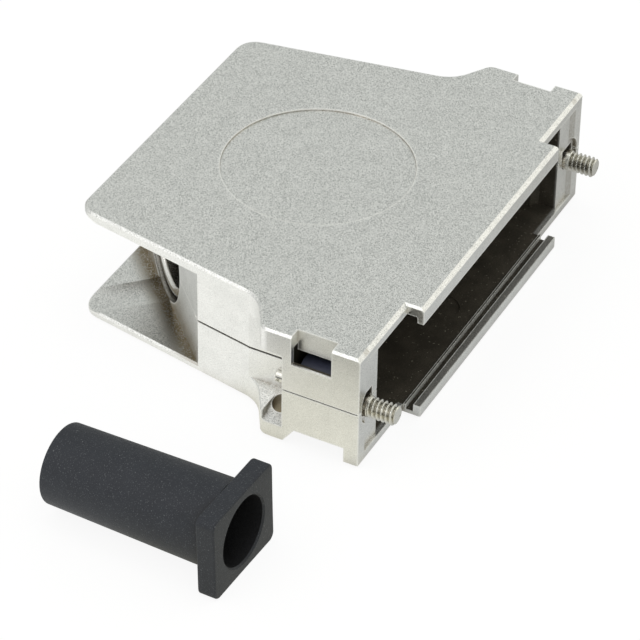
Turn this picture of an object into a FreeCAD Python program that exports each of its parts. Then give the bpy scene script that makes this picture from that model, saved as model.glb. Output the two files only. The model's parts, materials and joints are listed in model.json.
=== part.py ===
# Metal hood for a 50-way D-sub connector: two cast halves screwed together from below, a jackscrew
# with its plastic retainer at each end, a turned ferrule in the slanted cable exit, and the rubber
# boot beside it.
# X runs along the mouth, Y goes in through the mouth, Z is up. The origin is midway between the
# jackscrew axes, in the plane of the end faces. The halves are drawn about their parting plane
# and lifted by axis_drop when they are saved. All sizes are in millimetres.
import FreeCAD, Part
import math
import os
from FreeCAD import Vector

# Jackscrew axes, which everything along the mouth is set out from
screw_spacing = 61.11
axis_drop = 0.65

# Outline seen from above, with the ears that carry the jackscrews
end_margin = 3.05
hood_depth = 47.5
ear_depth = 14.15
ear_reach = 5.35
ear_slope_depth = 3.3
waist_taper = 0.18
ear_radius = 1.6
waist_radius = 5.0
rear_radius = 3.0

# Heights and walls
upper_height = 8.9
lower_height = 8.9
plate = 1.55
side_wall = 1.6
rear_wall = 1.6
front_chamfer = 0.5
edge_chamfer = 0.3
underside_chamfer = 0.4
rim_chamfer = 0.25
shelf_rim_chamfer = 0.15
shadow_gap = 0.3
block_shadow_gap = 0.18
block_shadow_start = 0.2
shadow_depth = 0.7

# Mouth and the lip and tongue that go over and under the connector
mouth_margin = 2.9
mouth_depth = 3.0
lip_half_width = 20.5
lip_reach = 2.4
lip_leg = 0.9
lip_drop = 2.5
tongue_half_width = 20.9
tongue_reach = 2.6
tongue_floor = 0.95
rib_width = 1.05
rib_height = 1.1
sill_reach = 0.5
bead_width = 0.35
bead_height = 0.15

# End blocks round the jackscrews
block_depth = 11.1
pad_step = 0.5
pad_rim = 1.8
pad_step_slope = 0.9
relief_radius = 2.3
relief_rise = 1.0
channel_clearance = 0.1
channel_top = 2.1
rear_hole_clearance = 0.18
chamber_front = 4.0
chamber_depth = 6.4
chamber_clearance = 0.15
chamber_rise = 5.7
chamber_rear_rise = 6.8
notch_front = 4.05
notch_depth = 5.75
notch_floor = 4.45
notch_inset = 1.85
foot_depth = 2.1
foot_height = 2.6
undercut_depth = 7.2
undercut_slope = 1.9

# Pockets behind the blocks
pocket_wall_margin = 2.515
overhang_height = 5.2
shelf_height = 5.0
shelf_depth = 3.05
bevel_width = 3.9
bevel_drop = 1.4
ear_hole_radius = 1.45
ear_hole_inset = 0.2
ear_hole_setback = 0.05

# Round recess in the top and the ejector mark in the floor
disc_radius = 13.25
disc_depth = 0.25
disc_x = 0.7
disc_y = 24.1
mark_radius = 2.87
mark_depth = 0.1
mark_x = -0.3
mark_y = 4.95

# Jackscrews, with a 4-40 thread
thread_radius = 1.4225
jackscrew_tip = 4.01
tip_chamfer = 0.3
ring_radius = 1.45
ring_reach = 0.05
collar_radius = 2.2
collar_width = 0.8
collar_float = 0.2
jackscrew_tail = 2.35
tail_radius = 1.0
tail_rounding = 0.35
slot_width = 0.5
slot_depth = 0.9

# Plastic retainers that snap on the jackscrews inside the blocks
retainer_rise = 2.35
retainer_gap = 0.1
retainer_running_gap = 0.05
retainer_slot_width = 2.3

# Cable exit across the rear left corner, and the ferrule in it
exit_radius = 8.05
exit_inset = 16.155
exit_setback = 8.0
wing_thickness_upper = 1.6
wing_thickness_lower = 1.3
web_setback = 2.9
web_width = 2.0
web_radius = 7.0
ferrule_bore_radius = 6.15
ferrule_gap = 0.45
groove_clearance = 0.15
ferrule_setback = 0.6
ferrule_tail = 2.0
web_end_gap = 0.05

# Case screws and their bosses
boss_radius = 3.1
boss_wall_overlap = 0.5
front_boss_y = 14.0
rear_boss_setback = 6.0
rear_boss_inset = 3.8
case_screw_radius = 1.25
case_screw_clearance = 0.2
tapped_hole_clearance = 0.03
case_screw_reach = 5.0
blind_end = 0.6
case_head_radius = 2.25
case_head_height = 1.6
counterbore_clearance = 0.2
counterbore_floor = 4.2
drive_width = 0.5
drive_depth = 0.8

# Rubber boot, lying beside the hood
boot_flange_width = 14.0
boot_flange_height = 12.3
boot_flange_depth = 2.6
boot_flange_corner = 1.0
boot_length = 26.6
boot_root_radius = 5.88
boot_tail_radius = 5.5
boot_flare = 4.0
boot_bore_radius = 4.75
boot_x = -57.1
boot_y = 3.6
boot_yaw = -2.1

# Sizes that follow from the ones above
screw_x = screw_spacing / 2
hood_half = screw_x + end_margin
mouth_half = screw_x - mouth_margin
pocket_wall_x = screw_x - pocket_wall_margin
waist_x = hood_half - ear_reach
waist_y = ear_depth + ear_slope_depth
rear_x = waist_x - waist_taper * (hood_depth - waist_y)
exit_x = exit_inset - screw_x
exit_y = hood_depth - exit_setback
diagonal = math.sqrt(0.5)
beyond = 2 * hood_depth + screw_spacing


def corner_arc(before, corner, after, radius):
    """The arc of this radius that rounds a corner, as its first, middle and last point."""
    back = (before - corner).normalize()
    ahead = (after - corner).normalize()
    half_angle = back.getAngle(ahead) / 2
    reach = radius / math.tan(half_angle)
    middle = (back + ahead).normalize() * (radius / math.sin(half_angle) - radius)
    return corner + back * reach, corner + middle, corner + ahead * reach


def rounded_face(corners):
    """A flat face from (x, y, radius) corners, each rounded by its radius."""
    points = [Vector(x, y, 0) for x, y, radius in corners]
    arcs = []
    for i, (x, y, radius) in enumerate(corners):
        after = points[(i + 1) % len(points)]
        if radius:
            arcs.append(corner_arc(points[i - 1], points[i], after, radius))
        else:
            arcs.append((points[i],))
    edges = []
    for i, arc in enumerate(arcs):
        if len(arc) == 3:
            edges.append(Part.Arc(*arc).toShape())
        following = arcs[(i + 1) % len(arcs)][0]
        edges.append(Part.LineSegment(arc[-1], following).toShape())
    return Part.Face(Part.Wire(edges))


def prism(face, bottom, top):
    """A face drawn at zero height, raised to a solid between two heights."""
    base = face.copy()
    base.translate(Vector(0, 0, bottom))
    return base.extrude(Vector(0, 0, top - bottom))


def block(x0, x1, y0, y1, z0, z1):
    return Part.makeBox(x1 - x0, y1 - y0, z1 - z0, Vector(x0, y0, z0))


def rod(radius, start, end):
    return Part.makeCylinder(radius, (end - start).Length, start, end - start)


def mirrored(shape):
    return shape.mirror(Vector(0, 0, 0), Vector(1, 0, 0))


def at_both_ends(shapes):
    return shapes + [mirrored(shape) for shape in shapes]


def revolved(profile):
    """A solid turned about Y from (y, radius) points, which start and end on the axis."""
    points = [Vector(radius, y, 0) for y, radius in profile]
    face = Part.Face(Part.makePolygon(points + [points[0]]))
    return face.revolve(Vector(0, 0, 0), Vector(0, 1, 0), 360)


def both_sides(right):
    """Right-hand corners from front to rear, followed by their mirror images."""
    return right + [(-x, y, radius) for x, y, radius in reversed(right)]


def hood_face(front_half, reach):
    """The outline from above, with a lip or tongue of this half width and reach at the mouth."""
    return rounded_face(both_sides([
        (front_half, -reach, 0), (front_half, 0, 0), (hood_half, 0, 0),
        (hood_half, ear_depth, ear_radius),
        (waist_x, waist_y, waist_radius),
        (rear_x, hood_depth, rear_radius)]))


def exit_point(inward):
    """A point on the cable exit's axis, this far inside the slanted face."""
    return Vector(exit_x + inward * diagonal, exit_y - inward * diagonal, 0)


def cavity_face():
    """The hollow from above: side walls of even thickness and a slanted wall at the exit."""
    inner_x = pocket_wall_x - side_wall
    taper_start = waist_y - waist_taper * side_wall
    lean = waist_taper * (hood_depth - rear_wall - taper_start)
    back_y = hood_depth - rear_wall
    web_inside = exit_point(web_setback + web_width)
    slant = web_inside.y - web_inside.x
    # where the slanted wall meets the left side wall, which leans by the taper
    meet_x = -(inner_x - waist_taper * (slant - inner_x - taper_start) / (1 - waist_taper))
    return rounded_face([
        (mouth_half, -beyond, 0), (mouth_half, mouth_depth, 0),
        (inner_x, mouth_depth + side_wall / 2, 0), (inner_x, taper_start, side_wall),
        (inner_x - lean, back_y, side_wall),
        (back_y - slant, back_y, side_wall), (meet_x, meet_x + slant, side_wall),
        (-inner_x, taper_start, side_wall) if meet_x + slant > taper_start + 2 * side_wall
        else (-inner_x, (mouth_depth + taper_start) / 2, 0),
        (-inner_x, mouth_depth + side_wall / 2, 0),
        (-mouth_half, mouth_depth, 0), (-mouth_half, -beyond, 0)])


def beyond_exit_face():
    """Everything on the outer side of the slanted exit face, from above."""
    middle = exit_point(0)
    along = Vector(diagonal, diagonal, 0) * beyond
    outward = Vector(-diagonal, diagonal, 0) * beyond
    corners = [middle + along, middle + along + outward, middle - along + outward, middle - along]
    return Part.Face(Part.makePolygon(corners + [corners[0]]))


def exit_bore():
    """The bore past the web on both its sides, and the smaller hole through the web."""
    web_front = web_setback
    web_back = web_setback + web_width
    tail_room = ferrule_tail + 2 * ferrule_gap
    outer = rod(exit_radius, exit_point(web_front), exit_point(-hood_depth))
    inner = rod(exit_radius, exit_point(web_back), exit_point(web_back + tail_room))
    hole = rod(web_radius, exit_point(web_back + tail_room), exit_point(0))
    return [outer, inner, hole]


def screw_channels():
    """Passages for the jackscrew through the block's front and rear walls, drawn at the right end."""
    axis = Vector(screw_x, 0, -axis_drop)
    front, relief_end, back = (Vector(0, y, 0) for y in (-beyond, pad_step, block_depth + pad_step))
    raised = Vector(0, 0, relief_rise)
    half = ring_radius + channel_clearance
    rear = tail_radius + rear_hole_clearance
    return [
        # round the ring, through the rim of the end face
        rod(relief_radius, axis + front, axis + relief_end),
        rod(relief_radius, axis + raised + front, axis + raised + relief_end),
        block(screw_x - relief_radius, screw_x + relief_radius, -beyond, pad_step,
              -axis_drop, relief_rise - axis_drop),
        # through the front wall, with a flat top, and through the rear wall
        rod(half, axis + front, axis + Vector(0, chamber_front, 0)),
        block(screw_x - half, screw_x + half, -beyond, chamber_front, -axis_drop, channel_top - axis_drop),
        rod(rear, axis + Vector(0, chamber_front, 0), axis + back)]


def chamber():
    """The hollow in the block for the collar and the retainer, drawn at the right end."""
    half = collar_radius + chamber_clearance
    back = chamber_front + chamber_depth
    room = block(screw_x - half, screw_x + half, chamber_front, back, -axis_drop - half, chamber_rise)
    return room.fuse(block(screw_x - half, screw_x + half, notch_front + notch_depth, back,
                           chamber_rise, chamber_rear_rise))


def pad_recess():
    """The inner strip of the end face stands a little back, drawn at the right end."""
    rim_x = hood_half - pad_rim
    face = Part.Face(Part.makePolygon([
        Vector(mouth_half - pad_step, -pad_step, 0), Vector(rim_x + pad_step_slope, -pad_step, 0),
        Vector(rim_x - pad_step_slope, pad_step, 0), Vector(mouth_half - pad_step, pad_step, 0),
        Vector(mouth_half - pad_step, -pad_step, 0)]))
    return prism(face, -lower_height + plate, upper_height - plate)


def boss_places():
    inner_x = pocket_wall_x - side_wall
    front_x = inner_x - boss_radius + boss_wall_overlap
    return [("case_screw_left", -front_x, front_boss_y),
            ("case_screw_right", front_x, front_boss_y),
            ("case_screw_rear", rear_x - rear_boss_inset, hood_depth - rear_boss_setback)]


def pocket_room(top):
    """The space of the pockets behind the end blocks, up to this height, drawn at the right end."""
    return block(pocket_wall_x, beyond, block_depth, waist_y + waist_radius, -lower_height, top)


def shadow_groove(face):
    """A rebate under the parting plane round the sides and the pocket walls."""
    outline = face.cut(at_both_ends([pocket_room(1)])).Faces[0]
    grooves = []
    for area, gap, start in ((face, block_shadow_gap, block_shadow_start), (outline, shadow_gap, block_depth)):
        ring = prism(area, -gap, 0).cut(prism(area.makeOffset2D(-shadow_depth), -gap, 0))
        grooves.append(ring.common(block(-beyond, beyond, start, beyond, -gap, 0)))
    return grooves


def level_edges(shape, height):
    """The edges of a solid that lie flat at this height."""
    return [edge for edge in shape.Edges
            if abs(edge.BoundBox.ZMin - height) < 1e-6 and abs(edge.BoundBox.ZMax - height) < 1e-6]


def front_edges(shape, height):
    """The level edges at this height along the fronts of the blocks, the lip or the tongue."""
    return [edge for edge in level_edges(shape, height)
            if edge.BoundBox.YLength < 1e-6 and edge.BoundBox.YMax < 1e-6]


def middle_of(edge):
    return edge.valueAt(edge.getParameterByLength(edge.Length / 2))


def rim_edges(shape, face, height):
    """The level edges at this height that lie on the outline, where a plate's edge shows."""
    outline = face.OuterWire.copy()
    outline.translate(Vector(0, 0, height))
    return [edge for edge in level_edges(shape, height)
            if Part.Vertex(middle_of(edge)).distToShape(outline)[0] < 1e-4]


def upper_shell():
    face = hood_face(lip_half_width, lip_reach)
    body = prism(face, 0, upper_height)
    body = body.makeChamfer(front_chamfer, front_edges(body, upper_height))
    body = body.makeChamfer(edge_chamfer, rim_edges(body, face, upper_height))
    inside = upper_height - plate
    cuts = [
        # under the lip, leaving its leg
        block(-beyond, beyond, -beyond, 0, -1, upper_height - lip_drop),
        prism(cavity_face(), -1, inside).common(
            block(-beyond, beyond, lip_leg - lip_reach, beyond, -1, inside)),
        prism(beyond_exit_face(), -1, upper_height - wing_thickness_upper),
        Part.makeCylinder(disc_radius, disc_depth + 1, Vector(disc_x, disc_y, upper_height - disc_depth))]
    cuts += exit_bore()
    notch = block(hood_half - notch_inset, beyond, notch_front, notch_front + notch_depth,
                  notch_floor, upper_height + 1)
    pocket = block(pocket_wall_x, beyond, block_depth, beyond, -1, overhang_height)
    pocket = pocket.cut(block(0, beyond, waist_y + waist_radius, beyond, -1, overhang_height))
    cuts += at_both_ends(screw_channels() + [chamber(), pad_recess(), notch, pocket])
    body = body.cut(cuts)
    rims = rim_edges(body, face, upper_height - wing_thickness_upper) + rim_edges(body, face, overhang_height)
    body = body.makeChamfer(rim_chamfer, rims)
    for name, x, y in boss_places():
        boss = Part.makeCylinder(boss_radius, inside, Vector(x, y, 0))
        hole = Part.makeCylinder(case_screw_radius + tapped_hole_clearance,
                                 case_screw_reach + blind_end, Vector(x, y, 0))
        body = body.fuse(boss).cut(hole)
    return body.removeSplitter()


def lower_shell():
    face = hood_face(tongue_half_width, tongue_reach)
    body = prism(face, -lower_height, 0)
    body = body.makeChamfer(underside_chamfer, level_edges(body, -lower_height))
    inside = -lower_height + plate
    rib_back = rib_width - tongue_reach
    cuts = [
        # over the tongue, leaving its rib, and behind the rib down to its floor
        block(-beyond, beyond, -beyond, 0, -lower_height + tongue_floor + rib_height, 1),
        block(-tongue_half_width, tongue_half_width, rib_back, -sill_reach,
              -lower_height + tongue_floor, 0),
        block(-tongue_half_width, tongue_half_width, -sill_reach, 0, inside + bead_height, 0),
        block(-tongue_half_width, tongue_half_width, bead_width - sill_reach, 0, inside, 0),
        prism(cavity_face(), inside, 1).common(
            block(-beyond, beyond, 0, beyond, inside, 1)),
        prism(beyond_exit_face(), -lower_height + wing_thickness_lower, 1),
        Part.makeCylinder(mark_radius, plate, Vector(mark_x, mark_y, inside - mark_depth))]
    cuts += shadow_groove(face) + exit_bore()
    pocket = block(pocket_wall_x, beyond, block_depth, waist_y + waist_radius, -shelf_height, 1)
    bevel_x = hood_half - bevel_width
    bevel = Part.Face(Part.makePolygon([
        Vector(bevel_x, block_depth, -shelf_height),
        Vector(hood_half + bevel_width, block_depth, -shelf_height),
        Vector(hood_half + bevel_width, block_depth, -shelf_height - 2 * bevel_drop),
        Vector(bevel_x, block_depth, -shelf_height)])).extrude(Vector(0, shelf_depth, 0))
    hole = Part.makeCylinder(
        ear_hole_radius, lower_height,
        Vector(screw_x - ear_hole_inset, block_depth + ear_hole_radius + ear_hole_setback, -lower_height - 1))
    undercut_end = foot_depth + undercut_depth
    undercut = Part.Face(Part.makePolygon([
        Vector(pocket_wall_x, foot_depth, -lower_height - 1),
        Vector(pocket_wall_x, foot_depth, -lower_height + foot_height),
        Vector(pocket_wall_x, undercut_end, -lower_height + foot_height),
        Vector(pocket_wall_x, undercut_end + undercut_slope, -lower_height),
        Vector(pocket_wall_x, undercut_end + undercut_slope, -lower_height - 1),
        Vector(pocket_wall_x, foot_depth, -lower_height - 1)])).extrude(Vector(beyond, 0, 0))
    body = body.cut(at_both_ends([pocket]))
    body = body.makeChamfer(shelf_rim_chamfer, rim_edges(body, face, -shelf_height))
    body = body.cut(cuts + at_both_ends(screw_channels() + [chamber(), pad_recess(), bevel, hole, undercut]))
    body = body.makeChamfer(rim_chamfer, rim_edges(body, face, -lower_height + wing_thickness_lower))
    for name, x, y in boss_places():
        boss = Part.makeCylinder(boss_radius, -inside, Vector(x, y, inside))
        hole = Part.makeCylinder(case_screw_radius + case_screw_clearance,
                                 lower_height, Vector(x, y, -lower_height))
        counterbore = Part.makeCylinder(case_head_radius + counterbore_clearance,
                                        lower_height - counterbore_floor, Vector(x, y, -lower_height))
        body = body.fuse(boss).cut([hole, counterbore])
    return body.removeSplitter()


def jackscrew():
    """Thread, ring, the collar behind the retainer, and a slotted tail, at the right end."""
    back = chamber_front + chamber_depth - collar_float
    tail = block_depth + jackscrew_tail
    body = revolved([
        (-jackscrew_tip, 0), (-jackscrew_tip, thread_radius - tip_chamfer),
        (tip_chamfer - jackscrew_tip, thread_radius), (-ring_reach, thread_radius),
        (-ring_reach, ring_radius), (chamber_front, ring_radius), (chamber_front, thread_radius),
        (back - collar_width, thread_radius), (back - collar_width, collar_radius),
        (back, collar_radius), (back, tail_radius),
        (tail - tail_rounding, tail_radius), (tail, tail_radius - tail_rounding), (tail, 0)])
    slot = block(-beyond, beyond, tail - slot_depth, beyond, -slot_width / 2, slot_width / 2)
    body = body.cut(slot)
    body.translate(Vector(screw_x, 0, -axis_drop))
    return body


def screw_retainer():
    """An upright plastic clip round the jackscrew, open below, drawn at the right end."""
    front = chamber_front + collar_float
    back = chamber_front + chamber_depth - collar_float - collar_width - retainer_gap
    low = Vector(screw_x, front, -axis_drop)
    high = low + Vector(0, 0, retainer_rise)
    reach = Vector(0, back - front, 0)
    body = rod(collar_radius, low, low + reach).fuse(
        [rod(collar_radius, high, high + reach),
         block(screw_x - collar_radius, screw_x + collar_radius, front, back, low.z, high.z)])
    bore = rod(thread_radius + retainer_running_gap, low, low + reach)
    half_slot = retainer_slot_width / 2
    slot = block(screw_x - half_slot, screw_x + half_slot, front, back,
                 low.z - 2 * collar_radius, low.z)
    return body.cut([bore, slot]).removeSplitter()


def cable_ferrule():
    """A flanged ring whose groove sits on the web in the exit."""
    outer = exit_radius - ferrule_gap
    groove = web_radius - groove_clearance
    front = -ferrule_setback
    groove_front = web_end_gap - web_setback
    groove_back = -web_setback - web_width - web_end_gap
    back = groove_back - ferrule_tail
    profile = [
        (front, ferrule_bore_radius), (front, outer), (groove_front, outer), (groove_front, groove),
        (groove_back, groove), (groove_back, outer), (back, outer), (back, ferrule_bore_radius)]
    points = [Vector(radius, along, 0) for along, radius in profile]
    face = Part.Face(Part.makePolygon(points + [points[0]]))
    ring = face.revolve(Vector(0, 0, 0), Vector(0, 1, 0), 360)
    ring.rotate(Vector(0, 0, 0), Vector(0, 0, 1), 45)
    ring.translate(exit_point(0))
    return ring


def case_screw(x, y):
    """A screw driven up from below, with a cross recess in its head."""
    head_top = -counterbore_floor
    head = Part.makeCylinder(case_head_radius, case_head_height, Vector(x, y, head_top - case_head_height))
    shank = Part.makeCylinder(case_screw_radius, case_screw_reach - head_top, Vector(x, y, head_top))
    bottom = head_top - case_head_height
    arm = case_head_radius * 0.6
    cross = [block(x - arm, x + arm, y - drive_width / 2, y + drive_width / 2, bottom - 1, bottom + drive_depth),
             block(x - drive_width / 2, x + drive_width / 2, y - arm, y + arm, bottom - 1, bottom + drive_depth)]
    return head.fuse(shank).cut(cross).removeSplitter()


def bend_relief_boot():
    """A tapered rubber tube with an oblong flange, lying on the flange's edge and its own tail."""
    half_width = boot_flange_width / 2
    half_height = boot_flange_height / 2
    flange = Part.makeBox(boot_flange_width, boot_flange_depth, boot_flange_height,
                          Vector(-half_width, 0, -half_height))
    corners = [edge for edge in flange.Edges if abs(edge.BoundBox.YLength - boot_flange_depth) < 1e-3
               and edge.BoundBox.ZLength < 1e-3]
    flange = flange.makeFillet(boot_flange_corner, corners)
    tube = revolved([(0, 0), (0, boot_root_radius), (boot_flange_depth, boot_root_radius),
                     (boot_flange_depth + boot_flare, boot_tail_radius),
                     (boot_length, boot_tail_radius), (boot_length, 0)])
    bore = Part.makeCylinder(boot_bore_radius, boot_length, Vector(0, 0, 0), Vector(0, 1, 0))
    boot = flange.fuse(tube).cut(bore).removeSplitter()
    lean = math.degrees(math.atan((half_height - boot_tail_radius) / boot_length))
    boot.rotate(Vector(0, 0, 0), Vector(1, 0, 0), -lean)
    boot.rotate(Vector(0, 0, 0), Vector(0, 0, 1), boot_yaw)
    boot.translate(Vector(boot_x, boot_y, 0))
    boot.translate(Vector(0, 0, -lower_height - boot.BoundBox.ZMin))
    return boot


def save(name, shape):
    lifted = shape.copy()
    lifted.translate(Vector(0, 0, axis_drop))
    lifted.exportStep("parts/" + name + ".step")
    print(name, "volume", round(lifted.Volume, 2), "valid", lifted.isValid(), "solids", len(lifted.Solids))


os.makedirs("parts", exist_ok=True)
save("upper_shell", upper_shell())
save("lower_shell", lower_shell())
right_screw = jackscrew()
save("jackscrew_right", right_screw)
save("jackscrew_left", mirrored(right_screw))
right_retainer = screw_retainer()
save("screw_retainer_right", right_retainer)
save("screw_retainer_left", mirrored(right_retainer))
save("cable_ferrule", cable_ferrule())
for screw_name, screw_place_x, screw_place_y in boss_places():
    save(screw_name, case_screw(screw_place_x, screw_place_y))
save("bend_relief_boot", bend_relief_boot())
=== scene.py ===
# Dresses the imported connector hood: cast shells, threaded jackscrews, polished ferrule, plastic
# retainers, case screws and the loose rubber boot, under soft studio light. Dictionaries give lengths
# and places in millimetres, and a pair of numbers is a range, or the two ends of a fade.
import bmesh
import bpy
import json
import math
import numpy as np
from mathutils import Matrix, Vector


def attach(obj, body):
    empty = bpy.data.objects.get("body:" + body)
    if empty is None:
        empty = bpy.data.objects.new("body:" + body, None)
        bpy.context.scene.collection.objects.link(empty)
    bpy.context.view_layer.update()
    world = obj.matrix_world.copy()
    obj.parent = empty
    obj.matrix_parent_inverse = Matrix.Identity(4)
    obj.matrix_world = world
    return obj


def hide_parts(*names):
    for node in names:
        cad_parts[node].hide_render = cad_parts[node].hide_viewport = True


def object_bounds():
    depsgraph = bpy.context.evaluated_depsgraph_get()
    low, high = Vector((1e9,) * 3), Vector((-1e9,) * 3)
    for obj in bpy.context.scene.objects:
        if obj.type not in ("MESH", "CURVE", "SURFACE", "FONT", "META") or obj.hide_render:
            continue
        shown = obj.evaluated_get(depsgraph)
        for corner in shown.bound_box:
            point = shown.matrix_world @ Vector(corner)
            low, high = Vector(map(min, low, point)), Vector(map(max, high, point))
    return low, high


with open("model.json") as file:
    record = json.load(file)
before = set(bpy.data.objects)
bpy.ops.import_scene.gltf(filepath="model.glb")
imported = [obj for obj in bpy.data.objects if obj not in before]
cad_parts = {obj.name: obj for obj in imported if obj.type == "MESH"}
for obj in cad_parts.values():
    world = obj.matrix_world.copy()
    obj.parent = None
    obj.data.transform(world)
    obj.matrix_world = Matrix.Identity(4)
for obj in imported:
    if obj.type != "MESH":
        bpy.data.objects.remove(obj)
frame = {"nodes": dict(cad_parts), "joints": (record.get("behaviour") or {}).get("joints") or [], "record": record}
cadBox = [list(corner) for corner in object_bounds()]
mounts = {mount["name"]: mount for mount in frame["record"]["mounts"]}
joints = {joint["name"]: joint for joint in frame["joints"]}
nodes = frame["nodes"]
mm = 0.001
noiseTurn = (0.6, 0.35, 0.2)  # radians, so that no flat face lies in a plane of the noise
print("frame loaded:", len(nodes), "nodes")


# Shader maths: a Value wraps one socket, and an expression on it adds Math nodes
class Value:
    def __init__(self, tree, socket):
        self.tree, self.socket = tree, socket

    def math(self, operation, *others):
        return self.tree.node("ShaderNodeMath", {"operation": operation}, dict(enumerate((self, *others))))

    def __add__(self, other):
        return self.math("ADD", other)

    def __sub__(self, other):
        return self.math("SUBTRACT", other)

    def __rsub__(self, other):
        return self.tree.node("ShaderNodeMath", {"operation": "SUBTRACT"}, {0: other, 1: self})

    def __mul__(self, other):
        return self.math("MULTIPLY", other)

    __radd__ = __add__
    __rmul__ = __mul__

    def size(self):
        return self.math("ABSOLUTE")

    def least(self, other):
        return self.math("MINIMUM", other)

    def most(self, other):
        return self.math("MAXIMUM", other)

    def root(self):
        return self.math("SQRT")

    # 0 at start, 1 at end, eased between them and held outside them
    def step(self, start, end):
        if end < start:
            return 1 - self.step(end, start)
        return self.tree.node("ShaderNodeMapRange", {"interpolation_type": "SMOOTHSTEP"},
                              {"Value": self, "From Min": start, "From Max": end})


class Finish:
    # one material, or a world; node() makes any node from its type, settings and sockets
    def __init__(self, name, world=False):
        self.material = (bpy.data.worlds if world else bpy.data.materials).new(name)
        self.material.use_nodes = True
        self.tree = self.material.node_tree
        self.tree.nodes.clear()

    def node(self, kind, settings=None, sockets=None, output=0):
        made = self.tree.nodes.new(kind)
        for name, value in (settings or {}).items():
            setattr(made, name, value)
        for key, value in (sockets or {}).items():
            if isinstance(value, Value):
                self.tree.links.new(value.socket, made.inputs[key])
            else:
                made.inputs[key].default_value = value
        return Value(self, made.outputs[output]) if made.outputs else None

    # place on the object in millimetres
    def place(self):
        coordinates = self.node("ShaderNodeTexCoord", output=3)
        return self.node("ShaderNodeVectorMath", {"operation": "SCALE"}, {0: coordinates, "Scale": 1 / mm})

    # that place turned askew, for noise
    def askew(self):
        return self.node("ShaderNodeMapping", {}, {"Vector": self.place(), "Rotation": noiseTurn})

    # that place as x, y and z
    def axes(self):
        split = self.node("ShaderNodeSeparateXYZ", {}, {0: self.place()})
        return [Value(self, part) for part in split.socket.node.outputs]

    def noise(self, place, grain, detail=2.0, roughness=0.5):
        return self.node("ShaderNodeTexNoise", {}, {"Vector": place, "Scale": 1 / grain,
                                                   "Detail": detail, "Roughness": roughness})

    def mix(self, factor, first, second):
        return self.node("ShaderNodeMix", {"data_type": "RGBA"},
                         {0: factor, 6: first, 7: second}, output=2)

    def bump(self, height, distance):
        return self.node("ShaderNodeBump", {}, {"Height": height, "Distance": distance * mm, "Strength": 1.0})

    # how far one direction points along another
    def dot(self, way, direction):
        return self.node("ShaderNodeVectorMath", {"operation": "DOT_PRODUCT"}, {0: way, 1: direction}, output=1)

    # how shut in a point is within a reach: outside it in creases, or inside the solid along its edges
    def shutIn(self, reach, inside=False, alone=False):
        openness = self.node("ShaderNodeAmbientOcclusion", {"samples": 6, "inside": inside, "only_local": alone},
                             {"Distance": reach * mm}, output=1)
        return 1 - openness

    # the surface shader that ends the material
    def surface(self, **sockets):
        shader = self.node("ShaderNodeBsdfPrincipled", {},
                           {name.replace("_", " "): value for name, value in sockets.items()})
        self.node("ShaderNodeOutputMaterial", {}, {"Surface": shader})
        return self.material


def rgb(red, green, blue):
    return (red, green, blue, 1.0)


def paint(node, material):
    mesh = nodes[node].data
    mesh.materials.clear()
    mesh.materials.append(material)


# The cast shells: satin plating over a fine blasted grain, with brown painted shade in the creases and dark
# painted shade in the hollow
cast = {
    "dull": rgb(0.50, 0.51, 0.50), "bright": rgb(1.0, 1.0, 0.985), "edgeHighlightColour": rgb(1.0, 1.0, 0.97),
    "paintedShadeBrown": rgb(0.19, 0.142, 0.075), "speck": rgb(0.26, 0.24, 0.19),
    "hollow": rgb(0.026, 0.021, 0.013), "hollowPale": rgb(0.075, 0.064, 0.046),
    # the grain, stronger on level faces than on walls, and painted light that makes the walls lighter
    "levelFade": (0.5, 0.9), "grain": 0.13, "grainContrast": 2.6, "wallContrast": 0.9, "grainDepth": 0.008,
    "crystal": 0.115, "crystalContrast": 1.25, "wallCrystals": 0.2, "patch": 2.6, "patchContrast": 0.35,
    "middleShade": 0.62, "wallPaintedLight": 0.1, "roughness": 0.34, "grainRoughness": 0.3, "hollowRoughness": 0.7,
    # painted shade in creases, at the foot of the exit's wall and round the recess in the top, and a darker band
    # on the end pads' step
    "creaseReach": 4.0, "creaseFade": (0.3, 0.9), "creaseShade": 0.85, "creaseGrain": 1.3, "wallGrain": 0.3,
    "exitFace": 3.775, "footFade": (3.6, 0.6), "footStart": (-0.4, 0.0), "footZ": (-8.1, 8.4),
    "footGrain": (0.42, 0.85), "footCrystals": 0.6, "exitFade": (-0.6, -0.2), "exitShadeCut": 0.65,
    "stepX": (30.85, 31.9), "stepY": (0.03, 0.52), "stepGrain": (0.2, 0.8), "stepDarkening": 0.55,
    "discAt": (0.7, 24.1), "discRadius": 13.25, "discFade": (0.13, 0.05), "discZ": (8.5, 9.0),
    "discGrain": (0.35, 0.6), "discShade": 0.4,
    # painted highlight along the outer edges
    "edgeReach": 0.3, "edgeFade": (0.12, 0.4), "edgeGrain": (0.2, 0.5), "edgeHighlightBreak": 0.4, "highlightMetalCut": 0.7,
    # painted shade: the dark hollow and what is dark with it
    "hollowGrain": 1.2, "hollowPatch": 0.9, "hollowFade": (0.75, 1.5), "speckSize": 0.35,
    "speckFade": (0.70, 0.74), "wallX": 26.9, "mouthWallX": 27.8, "blockY": (11.0, 10.9), "taper": 0.18,
    "waistY": 17.4, "mouthY": (0.1, 0.9), "rearY": (46.8, 46.4), "exitSum": (49.9, 48.9),
    "plateZ": (-6.82, 8.12), "chamberX": (27.6, 31.7), "chamberY": (3.9, 10.5), "chamberZ": (-7.0, 7.6),
    "boreRadius": (2.45, 2.35), "boreY": (0.6, 10.9), "boreDark": 0.85,
    "windowX": (31.6, 33.3), "windowY": (4.1, 9.75), "windowZ": (5.02, 5.16),
    "tongueX": (20.95, 20.85), "troughY": (-1.6, -0.45), "troughZ": (-7.5, -6.9),
    "sillY": (-0.45, 1.0), "sillZ": (-7.2, -6.5), "sillEdge": (-0.62, -0.4), "beadEdge": (-0.24, -0.06),
    "ribX": (20.88, 20.83), "ribY": (-2.5, -1.65), "ribZ": (-6.3, -6.1), "ribDark": 0.8,
}


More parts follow.
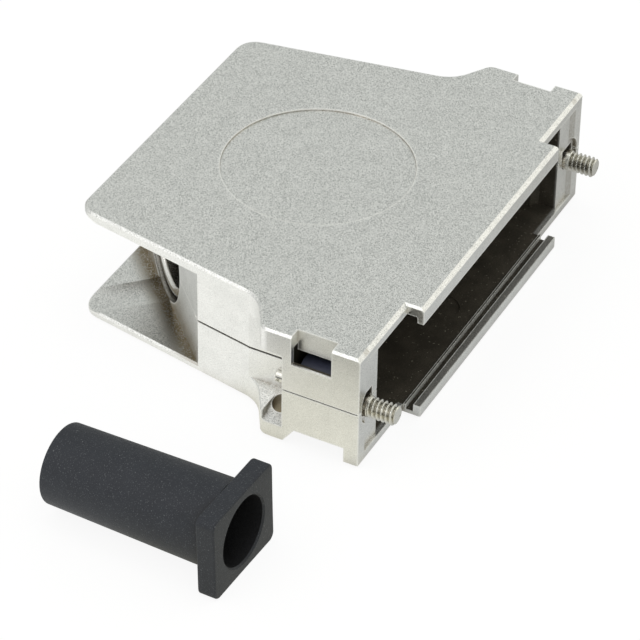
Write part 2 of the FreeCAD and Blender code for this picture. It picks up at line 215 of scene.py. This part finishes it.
# 1 inside the limits, easing to 0 within an edge at each
def between(value, limits, edge=0.05):
    return value.step(limits[0], limits[0] + edge) * value.step(limits[1], limits[1] - edge)


# distance from the axis of the nearer jackscrew, the same at both ends
def fromScrew(x, z):
    axis = x.size() - joints["jackscrew_right_turn"]["pos_m"][0] / mm
    return (axis * axis + z * z).root()


def castHollowShade(x, y, z):
    # painted shade where the casting is dark inside, and painted highlight lines on the sill's edges
    aside = x.size()
    # inside the tapering side walls, the rear wall, the slanted exit wall and the two plates
    wall = cast["wallX"] + y.step(*cast["blockY"]) * (cast["mouthWallX"] - cast["wallX"])
    side = wall - (y - cast["waistY"]).most(0) * cast["taper"] - aside
    inside = side.step(0.0, 0.1) * y.step(*cast["mouthY"]) * y.step(*cast["rearY"])
    inside = inside * (y - x).step(*cast["exitSum"]) * between(z, cast["plateZ"], 0.02)
    # the retainers' chambers, the jackscrews' bores and the windows' sills
    chamber = between(aside, cast["chamberX"]) * between(y, cast["chamberY"]) * between(z, cast["chamberZ"])
    bore = fromScrew(x, z).step(*cast["boreRadius"]) * between(y, cast["boreY"], 0.2) * cast["boreDark"]
    window = between(aside, cast["windowX"]) * between(y, cast["windowY"]) * between(z, cast["windowZ"], 0.03)
    # on the tongue: the trough, the sill behind it and the inner side of the rib
    tongue, sillZ = aside.step(*cast["tongueX"]), between(z, cast["sillZ"])
    trough = tongue * between(y, cast["troughY"], 0.1) * between(z, cast["troughZ"], 0.1)
    sill = tongue * sillZ * between(y, cast["sillY"])
    # painted highlight lines along the sill's front edge and the bead's edge
    sillHighlight = between(y, cast["sillEdge"], 0.03).most(between(y, cast["beadEdge"], 0.03)) * tongue * sillZ
    rib = aside.step(*cast["ribX"]) * between(y, cast["ribY"]) * between(z, cast["ribZ"]) * cast["ribDark"]
    # painted shade over all of these dark places
    hollow = inside.most(trough).most(sill).most(rib).most(chamber).most(bore).most(window)
    return hollow * (1 - sillHighlight), sillHighlight


def castPaintedShade(look, axes, level, grain, crystals):
    # painted shade in dark grains where faces meet and at the foot of the exit's wall, and a darker band on the
    # end pads' step; outward is the distance out of the exit's slanted wall
    x, y, z = axes
    crease = look.shutIn(cast["creaseReach"]) + (grain - 0.5) * (level * cast["creaseGrain"] + cast["wallGrain"])
    exitPlace = Vector(mounts["cable_exit_bore"]["pos_m"]) / mm
    outward = (y - x - (exitPlace.y - exitPlace.x)) * math.sqrt(0.5) - cast["exitFace"]
    foot = outward.step(*cast["footFade"]) * outward.step(*cast["footStart"]) * between(z, cast["footZ"], 0.1)
    foot = foot * (grain + crystals * cast["footCrystals"]).step(*cast["footGrain"]) * level
    step = between(x.size(), cast["stepX"]) * between(y, cast["stepY"], 0.02)
    step = step * grain.step(*cast["stepGrain"]) * cast["stepDarkening"]
    # the painted shade is weaker on the exit's wall itself
    shadeKept = 1 - outward.step(*cast["exitFade"]) * (1 - level * 0.5) * cast["exitShadeCut"]
    return (crease.step(*cast["creaseFade"]) * shadeKept * cast["creaseShade"]).most(foot.most(step))


# a fine line of painted shade along the foot of the step round the recess in the top
def discShadeLine(axes, grain):
    across, along, z = axes[0] - cast["discAt"][0], axes[1] - cast["discAt"][1], axes[2]
    line = ((across * across + along * along).root() - cast["discRadius"]).size().step(*cast["discFade"])
    return line * z.step(*cast["discZ"]) * grain.step(*cast["discGrain"]) * cast["discShade"]


def castFinish():
    look = Finish("castShell")
    place, axes = look.askew(), look.axes()
    hollow, sillHighlight = castHollowShade(*axes)
    normal = look.node("ShaderNodeNewGeometry", output=1)
    upward = look.node("ShaderNodeSeparateXYZ", {}, {0: normal}, output=2)
    level = upward.size().step(*cast["levelFade"])
    grain = look.noise(place, cast["grain"], detail=0.6, roughness=0.6)
    patch = look.noise(place, cast["patch"], detail=3.0)
    crystals = look.node("ShaderNodeTexVoronoi", {}, {"Vector": place, "Scale": 1 / cast["crystal"]}, output=1)
    # the blasted plating
    contrast = level * (cast["grainContrast"] - cast["wallContrast"]) + cast["wallContrast"]
    shade = (grain - 0.5) * contrast
    shade = shade + (crystals - 0.5) * (level * cast["crystalContrast"] + cast["wallCrystals"])
    shade = shade + (patch - 0.5) * cast["patchContrast"] + cast["middleShade"]
    # painted light: walls lighter than level faces
    shade = shade + (1 - level) * cast["wallPaintedLight"]
    colour = look.mix(shade.most(0.0).least(1.0), cast["dull"], cast["bright"])
    # brown painted shade in the creases and at the exit wall's foot, and the darker band on the end pads' step
    colour = look.mix(castPaintedShade(look, axes, level, grain, crystals), colour, cast["paintedShadeBrown"])
    # a line of painted shade round the recess in the top
    colour = look.mix(discShadeLine(axes, grain), colour, cast["paintedShadeBrown"])
    # painted shade over the inside, with a few pale specks
    speck = look.noise(place, cast["speckSize"], detail=1.0).step(*cast["speckFade"])
    cloud = (grain * cast["hollowGrain"] + patch * cast["hollowPatch"]).step(*cast["hollowFade"])
    dark = look.mix(speck, look.mix(cloud, cast["hollow"], cast["hollowPale"]), cast["speck"])
    colour = look.mix(hollow, colour, dark)
    # painted highlight along every outer edge and on the sill's edges, broken by the grain
    edgeHighlight = look.shutIn(cast["edgeReach"], inside=True).step(*cast["edgeFade"]) * (1 - hollow)
    edgeHighlight = edgeHighlight.most(sillHighlight) * (grain.step(*cast["edgeGrain"]) * cast["edgeHighlightBreak"] + (1 - cast["edgeHighlightBreak"]))
    colour = look.mix(edgeHighlight, colour, cast["edgeHighlightColour"])
    roughness = cast["roughness"] + (grain - 0.5) * cast["grainRoughness"]
    roughness = roughness + hollow * (cast["hollowRoughness"] - cast["roughness"])
    return look.surface(Base_Color=colour, Metallic=(1 - hollow) * (1 - edgeHighlight * cast["highlightMetalCut"]),
                        Roughness=roughness, Normal=look.bump(grain, cast["grainDepth"]))


castMaterial = castFinish()
for name in ("upper_shell", "lower_shell"):
    paint(name, castMaterial)
print("cast shells finished")


# Surfaces: a grid of points becomes a mesh
def gridMesh(name, points, closedRows=False):
    # points is (rows, columns, 3); columns always close round, rows only when asked
    rows, columns = points.shape[:2]
    ring = np.arange(rows if closedRows else rows - 1)[:, None]
    column = np.arange(columns)[None, :]
    after, beside = (ring + 1) % rows, (column + 1) % columns
    faces = np.stack([ring * columns + column, ring * columns + beside,
                      after * columns + beside, after * columns + column], -1).reshape(-1, 4).tolist()
    mesh = bpy.data.meshes.new(name)
    mesh.from_pydata(points.reshape(-1, 3).tolist(), [], faces)
    piece = bpy.data.objects.new(name, mesh)
    bpy.context.scene.collection.objects.link(piece)
    return piece


# rounds each corner of a profile of (along, radius) points by its own radius, in short chords
def roundedProfile(corners, closed=False, chords=6):
    points = np.array([corner[:2] for corner in corners], float)
    made = []
    for i, (point, radius) in enumerate(zip(points, [corner[2] for corner in corners])):
        if radius == 0 or (not closed and i in (0, len(points) - 1)):
            made.append(point[None])
            continue
        back, ahead = points[i - 1] - point, points[(i + 1) % len(points)] - point
        back, ahead = back / np.linalg.norm(back), ahead / np.linalg.norm(ahead)
        half = math.acos(np.clip(back @ ahead, -1, 1)) / 2
        centre = point + (back + ahead) / np.linalg.norm(back + ahead) * radius / math.sin(half)
        first, last = point + back * radius / math.tan(half), point + ahead * radius / math.tan(half)
        share = np.linspace(0, 1, chords + 1)[:, None]
        chord = first + (last - first) * share - centre
        made.append(centre + chord / np.linalg.norm(chord, axis=1)[:, None] * radius)
    return np.concatenate(made)


def fixNormals(piece, angle=30):
    # normals point outwards, and only edges sharper than the angle stay hard
    work = bmesh.new()
    work.from_mesh(piece.data)
    bmesh.ops.remove_doubles(work, verts=work.verts, dist=1e-7)
    bmesh.ops.recalc_face_normals(work, faces=work.faces)
    work.to_mesh(piece.data)
    work.free()
    piece.data.shade_smooth()
    piece.data.set_sharp_from_angle(angle=math.radians(angle))


# The jackscrews: a rolled 4-40 thread, a ring at the hood's face, a collar and a slotted tail
jackscrew = {
    "threadRadius": 1.4225, "pitch": 0.635, "threadDepth": 0.39, "threadEnd": -0.12, "halfFlat": 1 / 16,
    "tip": -4.01, "tipChamfer": 0.3, "tipRounding": 0.06, "ringFront": -0.05, "ringRadius": 1.45,
    "ringBack": 4.0, "collarFront": 9.4, "collarBack": 10.2, "collarRadius": 2.2, "rounding": 0.1,
    "tail": 13.45, "tailRadius": 1.0, "tailRounding": 0.35, "slotWidth": 0.5, "slotDepth": 0.9,
    "pointsPerTurn": 96, "stepsPerPitch": 20, "chamferSteps": 6,
    # groove is the colour of the painted shade down in the thread's grooves
    "metal": rgb(0.80, 0.79, 0.74), "groove": rgb(0.46, 0.44, 0.38), "barrel": rgb(0.42, 0.37, 0.29),
    "crestDepth": 0.1, "scratch": 0.35, "scratchDepth": 0.004, "roughness": 0.18, "scratchRoughness": 0.16,
    "streak": 0.6, "streakStretch": (3.0, 0.2, 3.0), "streakFade": (0.35, 0.65), "barrelEnd": (11.0, 10.5),
}


def jackscrewPoints():
    # radius of the turned blank along the axis, less the thread's 60 degree groove, which advances
    # one pitch along the screw for each turn to the right
    data = jackscrew
    full, ring, collar, edge = data["threadRadius"], data["ringRadius"], data["collarRadius"], data["rounding"]
    tipRadius, shoulder = full - data["tipChamfer"], data["tip"] + data["tipChamfer"]
    profile = roundedProfile([
        (data["tip"], 0, 0), (data["tip"], tipRadius, data["tipRounding"]), (shoulder, full, 0),
        (data["ringFront"], full, 0), (data["ringFront"], ring, 0),
        (data["ringBack"], ring, edge), (data["ringBack"], full, 0),
        (data["collarFront"], full, 0), (data["collarFront"], collar, edge),
        (data["collarBack"], collar, edge), (data["collarBack"], data["tailRadius"], 0),
        (data["tail"], data["tailRadius"], data["tailRounding"]), (data["tail"], 0, 0)])
    # the end face, its chamfer in steps, the thread in finer ones, and the rest of the blank
    face = profile[(profile[:, 0] < shoulder) & (profile[:, 1] < tipRadius)]
    share = np.linspace(0, 1, data["chamferSteps"] + 1)[1:, None]
    chamfer = np.array([[data["tip"], tipRadius]]) * (1 - share) + np.array([[shoulder, full]]) * share
    threaded = np.arange(data["tip"] + data["tipChamfer"] * 1.05, data["threadEnd"],
                         data["pitch"] / data["stepsPerPitch"])
    thread = np.stack([threaded, np.full_like(threaded, full)], -1)
    line = np.concatenate([face, chamfer, thread, profile[profile[:, 0] > data["threadEnd"]]])
    along, radius = line[:, 0][:, None], line[:, 1][:, None]
    turn = np.linspace(0, 2 * math.pi, data["pointsPerTurn"], endpoint=False)[None]
    # depth falls from the groove's middle to its crests, and runs out over the last half pitch
    phase = (along / data["pitch"] + turn / (2 * math.pi)) % 1.0
    flank = np.clip((np.abs(phase - 0.5) - data["halfFlat"]) / (0.5 - 2 * data["halfFlat"]), 0, 1)
    runOut = np.clip((data["threadEnd"] - along) / (0.5 * data["pitch"]), 0, 1)
    cut = full - data["threadDepth"] * (1 - flank) * runOut
    shown = np.where(along < data["threadEnd"], np.minimum(radius, cut), radius)
    return np.stack([shown * np.cos(turn), along + 0 * turn, shown * np.sin(turn)], -1)


def cutSlot(piece, low, high):
    # takes a box out of the piece and keeps the result as its mesh
    bpy.ops.mesh.primitive_cube_add(size=1)
    cutter = bpy.context.object
    cutter.data.transform(Matrix.Translation((Vector(low) + Vector(high)) / 2)
                          @ Matrix.Diagonal((*(Vector(high) - Vector(low)), 1)))
    modifier = piece.modifiers.new("slot", "BOOLEAN")
    modifier.object, modifier.operation, modifier.solver = cutter, "DIFFERENCE", "EXACT"
    bpy.context.view_layer.update()
    cut = bpy.data.meshes.new_from_object(piece.evaluated_get(bpy.context.evaluated_depsgraph_get()))
    piece.modifiers.clear()
    piece.data = cut
    bpy.data.objects.remove(cutter)


def jackscrewFinish():
    # painted shade, dull and dark, down in the thread's grooves, bright on the crests; streaked along the barrel
    look = Finish("jackscrewSteel")
    data, place = jackscrew, look.askew()
    x, y, z = look.axes()
    crest, root = data["threadRadius"] - data["crestDepth"], data["threadRadius"] - data["threadDepth"]
    # painted shade deepening from the crests down to the roots of the thread
    groove = fromScrew(x, z).step(crest, root)
    groove = groove * y.step(data["threadEnd"], data["threadEnd"] - 0.05)
    groove = groove * y.step(data["tip"] + 0.02, data["tip"] + 0.1)
    scratches = look.noise(place, data["scratch"], detail=3.0)
    stretched = {name: axis * scale for name, axis, scale in zip("XYZ", (x, y, z), data["streakStretch"])}
    lengthwise = look.node("ShaderNodeCombineXYZ", {}, stretched)
    streak = look.noise(lengthwise, data["streak"], detail=2.0).step(*data["streakFade"])
    barrel = y.step(data["threadEnd"], data["threadEnd"] + 0.3) * y.step(*data["barrelEnd"])
    colour = look.mix(groove, data["metal"], data["groove"])
    colour = look.mix(barrel * streak, colour, data["barrel"])
    return look.surface(Base_Color=colour, Metallic=1.0, Normal=look.bump(scratches, data["scratchDepth"]),
                        Roughness=data["roughness"] + scratches * data["scratchRoughness"])


jackscrewMaterial = jackscrewFinish()
for side in ("left", "right"):
    axisPlace = joints["jackscrew_" + side + "_turn"]["pos_m"]
    screw = gridMesh("jackscrewThreaded_" + side, jackscrewPoints() * mm + np.array(axisPlace))
    fixNormals(screw, angle=35)
    # the slot's cutter is wider than the tail and stands past its end
    slotEnd, halfSlot = jackscrew["tail"] * mm, jackscrew["slotWidth"] / 2 * mm
    cutSlot(screw, (axisPlace[0] - 3 * mm, slotEnd - jackscrew["slotDepth"] * mm, -halfSlot),
            (axisPlace[0] + 3 * mm, slotEnd + 1 * mm, halfSlot))
    screw.data.materials.clear()
    screw.data.materials.append(jackscrewMaterial)
    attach(screw, "jackscrew_" + side)
    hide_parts("jackscrew_" + side)
print("jackscrews threaded")


# The ferrule: a polished grooved ring in the slanted exit, its rim broadly rounded
ferrule = {
    "bore": 6.15, "outer": 7.6, "groove": 6.85, "front": 0.6, "grooveFront": 2.85, "grooveBack": 4.95,
    "back": 6.95, "rim": 0.65, "innerRim": 0.6, "grooveEdge": 0.08, "grooveFoot": 0.05, "backEdge": 0.1,
    "pointsPerTurn": 192, "metal": rgb(0.95, 0.94, 0.91), "deepShade": rgb(0.07, 0.05, 0.025),
    "deepReach": 20.0, "deepFade": (0.5, 0.75), "haze": 0.6, "hazeDepth": 0.003,
    "roughness": 0.14, "hazeRoughness": 0.14,
}


def ferrulePoints():
    # a closed profile turned about the exit's axis, which starts at the slanted face and runs inwards
    data = ferrule
    bore, outer, groove = data["bore"], data["outer"], data["groove"]
    corners = [(data["front"], bore, data["innerRim"]), (data["front"], outer, data["rim"]),
               (data["grooveFront"], outer, data["grooveEdge"]), (data["grooveFront"], groove, data["grooveFoot"]),
               (data["grooveBack"], groove, data["grooveFoot"]), (data["grooveBack"], outer, data["grooveEdge"]),
               (data["back"], outer, data["backEdge"]), (data["back"], bore, data["backEdge"])]
    line = roundedProfile(corners, closed=True)
    middle = Vector(mounts["cable_exit_bore"]["pos_m"])
    outward = Vector(mounts["cable_exit_bore"]["axis"]).normalized()
    face = middle + outward * ((data["front"] + data["back"]) / 2 * mm)
    sideways = Vector((0, 0, 1)).cross(outward)
    turn = np.linspace(0, 2 * math.pi, data["pointsPerTurn"], endpoint=False)[None, :, None]
    along, radius = line[:, 0][:, None, None] * mm, line[:, 1][:, None, None] * mm
    return (np.array(face) - along * np.array(outward)
            + radius * (np.cos(turn) * np.array(sideways) + np.sin(turn) * np.array((0, 0, 1))))


def ferruleFinish():
    # painted shade down in the bore
    look = Finish("ferrulePolish")
    haze = look.noise(look.askew(), ferrule["haze"], detail=3.0)
    deepShade = look.shutIn(ferrule["deepReach"]).step(*ferrule["deepFade"])
    return look.surface(Base_Color=look.mix(deepShade, ferrule["metal"], ferrule["deepShade"]), Metallic=1.0,
                        Roughness=ferrule["roughness"] + haze * ferrule["hazeRoughness"],
                        Normal=look.bump(haze, ferrule["hazeDepth"]))


ring = gridMesh("ferruleRing", ferrulePoints(), closedRows=True)
fixNormals(ring)
ring.data.materials.append(ferruleFinish())
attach(ring, "hood")
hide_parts("cable_ferrule")
print("ferrule turned")


# The retainers, of dark blue-black plastic, and the case screws, dull zinc plated
retainer = {
    "dark": rgb(0.045, 0.05, 0.085), "pale": rgb(0.075, 0.084, 0.13), "cloud": 0.5, "detail": 2.0,
    "roughness": 0.45, "cloudRoughness": 0.15, "depth": 0.01, "metallic": 0.0,
}
caseScrew = {
    "dark": rgb(0.5, 0.5, 0.49), "pale": rgb(0.66, 0.66, 0.64), "cloud": 0.4, "detail": 3.0,
    "roughness": 0.28, "cloudRoughness": 0.2, "depth": 0.004, "metallic": 1.0,
}


def cloudyFinish(name, data):
    # one colour clouded with another
    look = Finish(name)
    cloud = look.noise(look.askew(), data["cloud"], detail=data["detail"])
    return look.surface(Base_Color=look.mix(cloud, data["dark"], data["pale"]), Metallic=data["metallic"],
                        Roughness=data["roughness"] + cloud * data["cloudRoughness"],
                        Normal=look.bump(cloud, data["depth"]))


retainerMaterial = cloudyFinish("retainerNylon", retainer)
for side in ("left", "right"):
    paint("screw_retainer_" + side, retainerMaterial)
caseScrewMaterial = cloudyFinish("caseScrewZinc", caseScrew)
for side in ("left", "right", "rear"):
    paint("case_screw_" + side, caseScrewMaterial)
print("retainers and case screws finished")


# The rubber boot: an oblong flange with a tapering tube behind it, bored through
boot = {
    "halfWidth": 7.0, "halfHeight": 6.15, "corner": 1.0, "flange": 2.6, "edge": 0.25, "rootRadius": 5.85,
    "tailRadius": 5.45, "bore": 4.75, "length": 26.6, "fillet": 0.3, "lip": 0.25, "rootFlare": 0.35,
    "pointsPerTurn": 384, "tubeRings": 40, "boreRings": 12, "boreRun": 2.0,
    "rubber": rgb(0.0095, 0.012, 0.019), "bloom": rgb(0.018, 0.022, 0.031), "speck": rgb(0.17, 0.18, 0.19),
    "deepShade": rgb(0.003, 0.003, 0.004), "deepReach": 14.0, "deepFade": (0.12, 0.32),
    "fine": 0.17, "fineFade": (0.56, 0.8), "fineSpecks": 0.5, "fineDepth": 0.05, "cloud": 2.4,
    "dust": 0.3, "dustFade": (0.72, 0.78), "dustSpecks": 0.6, "roughness": 0.58, "fineRoughness": 0.3,
}


def flangeReach(turn):
    # the flange's rounded oblong: its reach at an angle is the nearer of its sides, or its corner's arc
    halfWidth, halfHeight, corner = boot["halfWidth"], boot["halfHeight"], boot["corner"]
    across, up = np.abs(np.cos(turn)), np.abs(np.sin(turn))
    reach = np.minimum(halfWidth / np.maximum(across, 1e-9), halfHeight / np.maximum(up, 1e-9))
    cornerAt = np.array([halfWidth, halfHeight]) - corner
    nearCorner = (reach * across > cornerAt[0]) & (reach * up > cornerAt[1])
    ahead = across * cornerAt[0] + up * cornerAt[1]
    arc = ahead + np.sqrt(np.maximum(ahead ** 2 - cornerAt @ cornerAt + corner ** 2, 0))
    return np.where(nearCorner, arc, reach)


def bootPoints():
    # each row is a closed ring: the bore's mouth, the flange's oblongs, the tapering tube with its stem
    # in rings just clear of the roundings, and back through the bore
    data = boot
    length, flange, bore, edge, lip = data["length"], data["flange"], data["bore"], data["edge"], data["lip"]
    turn = np.linspace(0, 2 * math.pi, data["pointsPerTurn"], endpoint=False)
    flangeRows = roundedProfile([(0, bore + lip, 0), (0, data["halfHeight"], edge),
                                 (flange, data["halfHeight"], edge), (flange, 0, 0)])[1:-1]
    rings = [(along, np.full_like(turn, radius)) for along, radius in ((lip, bore), (0, bore + lip))]
    rings += [(along, flangeReach(turn) + (radius - data["halfHeight"])) for along, radius in flangeRows]
    tube = roundedProfile([(flange, data["rootRadius"] + data["rootFlare"], 0),
                           (flange, data["rootRadius"], data["fillet"]), (length, data["tailRadius"], lip),
                           (length, bore, lip), (length - data["boreRun"], bore, 0)])
    tube = tube[tube[:, 0] > flange + 1e-6]
    slope = (data["tailRadius"] - data["rootRadius"]) / (length - flange)
    stem = np.linspace(flange + data["fillet"] * 1.2, length - lip * 1.2, data["tubeRings"])
    stem = np.stack([stem, data["rootRadius"] + slope * (stem - flange)], -1)
    early, late = tube[tube[:, 0] < stem[0, 0]], tube[tube[:, 0] > stem[-1, 0]]
    inward = np.linspace(length - data["boreRun"], data["boreRun"], data["boreRings"])
    inward = np.stack([inward, np.full_like(inward, bore)], -1)
    rings += [(along, np.full_like(turn, radius)) for along, radius in np.concatenate([early, stem, late, inward])]
    rows = [np.stack([radius * np.cos(turn), np.full_like(turn, along), radius * np.sin(turn)], -1)
            for along, radius in rings]
    points = np.stack(rows) * mm
    # laid along the mount's axis, its middle on the mount
    middle, forward = Vector(mounts["boot_bore"]["pos_m"]), Vector(mounts["boot_bore"]["axis"]).normalized()
    right = forward.cross(Vector((0, 0, 1))).normalized()
    upward = right.cross(forward)
    front = np.array(middle - forward * (length / 2 * mm))
    turned = np.stack([np.array(right), np.array(forward), np.array(upward)])
    return front + points @ turned


def bootFinish():
    # clouded black rubber with fine specks and dust, and black painted shade down in the bore
    look = Finish("bootRubber")
    data, place = boot, look.askew()
    fine = look.noise(place, data["fine"], detail=1.0, roughness=0.6)
    dust = look.noise(place, data["dust"], detail=1.0).step(*data["dustFade"])
    colour = look.mix(look.noise(place, data["cloud"], detail=3.0), data["rubber"], data["bloom"])
    colour = look.mix(fine.step(*data["fineFade"]) * data["fineSpecks"], colour, data["speck"])
    colour = look.mix(dust * data["dustSpecks"], colour, data["speck"])
    # painted shade down in the bore
    colour = look.mix(look.shutIn(data["deepReach"], alone=True).step(*data["deepFade"]), colour, data["deepShade"])
    return look.surface(Base_Color=colour, Roughness=data["roughness"] + (fine - 0.5) * data["fineRoughness"],
                        Normal=look.bump(fine, data["fineDepth"]))


bootPiece = gridMesh("bootMoulding", bootPoints(), closedRows=True)
fixNormals(bootPiece, angle=40)
bootPiece.data.materials.append(bootFinish())
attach(bootPiece, "hood")
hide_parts("bend_relief_boot")
print("boot moulded")


# The studio: a white floor, a surround that is paler on the left and in front, and three soft lamps; the
# floor's half width and gap, the lamps and their target are in metres
studio = {
    "floorHalf": 3.0, "floorGap": 0.00003, "floorColour": rgb(0.9, 0.9, 0.9), "floorGlow": 0.85, "white": 1.05,
    "leftGlow": rgb(0.99, 0.99, 0.95), "frontGlow": rgb(0.80, 0.785, 0.68), "rightGlow": rgb(0.53, 0.54, 0.53),
    "farGlow": rgb(0.42, 0.42, 0.40), "glowX": (-27.0, -15.0), "mouthY": (8.0, 0.0), "mouthShift": 12.0,
    "glowY": (14.0, 26.0), "farX": (5.0, 35.0),
    "surround": rgb(0.61, 0.625, 0.60), "paleLeft": rgb(0.85, 0.85, 0.83), "paleFront": rgb(0.85, 0.84, 0.77),
    "leftWay": (-0.62, 0.36, 0.70), "leftSpread": (0.35, 0.9), "frontWay": (0.70, -0.62, 0.36),
    "frontSpread": (0.75, 0.97), "target": (0.0, 0.02, 0.0),
}
lamps = [
    {"name": "leftRear", "toward": (-0.62, 0.36, 0.70), "distance": 0.55, "size": 0.30, "power": 0.2,
     "colour": (1.0, 0.99, 0.96)},
    {"name": "rightFront", "toward": (0.70, -0.62, 0.36), "distance": 0.55, "size": 0.25, "power": 0.05,
     "colour": (1.0, 0.98, 0.94)},
    {"name": "overhead", "toward": (0.05, -0.1, 1.0), "distance": 0.7, "size": 0.35, "power": 0.5,
     "colour": (1.0, 1.0, 1.0)},
]


def makeFloor():
    half, low = studio["floorHalf"], cadBox[0][2] - studio["floorGap"]
    corners = np.array([(-half, -half, low), (half, -half, low), (half, half, low), (-half, half, low)])
    mesh = bpy.data.meshes.new("floor")
    mesh.from_pydata(corners.tolist(), [], [(0, 1, 2, 3)])
    floor = bpy.data.objects.new("floor", mesh)
    bpy.context.scene.collection.objects.link(floor)
    look = Finish("studioFloor")
    x, y = look.axes()[:2]
    rays = look.node("ShaderNodeLightPath").socket.node.outputs
    mirrored = Value(look, rays["Is Glossy Ray"]) + Value(look, rays["Is Transmission Ray"])
    seen = (Value(look, rays["Is Camera Ray"]) + mirrored).least(1.0)
    # metal sees a floor with painted light, bright on the left and in front and dimmer to the right and far off,
    # the camera an even white one
    glow = look.mix(y.step(*studio["glowY"]), studio["frontGlow"], studio["leftGlow"])
    shifted = x + y.step(*studio["mouthY"]) * studio["mouthShift"]
    glow = look.mix(shifted.step(*studio["glowX"]), glow, studio["rightGlow"])
    glow = look.mix(x.step(*studio["farX"]), glow, studio["farGlow"])
    glow = look.mix(mirrored.least(1.0), rgb(1, 1, 1), glow)
    matte = look.node("ShaderNodeBsdfDiffuse", {}, {"Color": studio["floorColour"]})
    glow = look.node("ShaderNodeEmission", {}, {"Color": glow, "Strength": studio["white"]})
    mixed = look.node("ShaderNodeMixShader", {}, {0: seen * studio["floorGlow"], 1: matte, 2: glow})
    look.node("ShaderNodeOutputMaterial", {}, {"Surface": mixed})
    mesh.materials.append(look.material)


def makeSurround():
    look = Finish("surround", world=True)
    bpy.context.scene.world = look.material
    way = look.node("ShaderNodeTexCoord", output=0)
    left, front = look.dot(way, studio["leftWay"]), look.dot(way, studio["frontWay"])
    colour = look.mix(left.step(*studio["leftSpread"]), studio["surround"], studio["paleLeft"])
    colour = look.mix(front.step(*studio["frontSpread"]), colour, studio["paleFront"])
    backdrop = look.node("ShaderNodeBackground", {}, {"Color": colour, "Strength": 1.0})
    look.node("ShaderNodeOutputWorld", {}, {"Surface": backdrop})


def makeLamp(lamp):
    data = bpy.data.lights.new(lamp["name"], "AREA")
    data.shape, data.size, data.energy, data.color = "DISK", lamp["size"], lamp["power"], lamp["colour"]
    made = bpy.data.objects.new(lamp["name"], data)
    toward = Vector(lamp["toward"]).normalized()
    made.location = Vector(studio["target"]) + toward * lamp["distance"]
    made.rotation_mode = "QUATERNION"
    made.rotation_quaternion = (-toward).to_track_quat("-Z", "Y")
    bpy.context.scene.collection.objects.link(made)


# The camera stands where the photograph was taken from
viewpoint = {
    "at": (-0.32763, -0.14561, 0.27688), "ahead": (0.695917, 0.358269, -0.622369),
    "right": (0.467148, -0.884077, 0.013430), "focalLength": 190.64, "sensor": 36.0,
    "nearest": 0.01, "farthest": 20.0,
}


def makeCamera():
    data = bpy.data.cameras.new("photoCamera")
    data.lens, data.sensor_width = viewpoint["focalLength"], viewpoint["sensor"]
    data.clip_start, data.clip_end = viewpoint["nearest"], viewpoint["farthest"]
    camera = bpy.data.objects.new("photoCamera", data)
    ahead = Vector(viewpoint["ahead"]).normalized()
    right = Vector(viewpoint["right"]).normalized()
    turn = Matrix((right, right.cross(ahead), -ahead)).transposed().to_4x4()
    camera.matrix_world = Matrix.Translation(viewpoint["at"]) @ turn
    bpy.context.scene.collection.objects.link(camera)
    bpy.context.scene.camera = camera


makeFloor()
makeSurround()
for lamp in lamps:
    makeLamp(lamp)
makeCamera()
bpy.context.scene.view_settings.view_transform = "Standard"
print("studio lit")
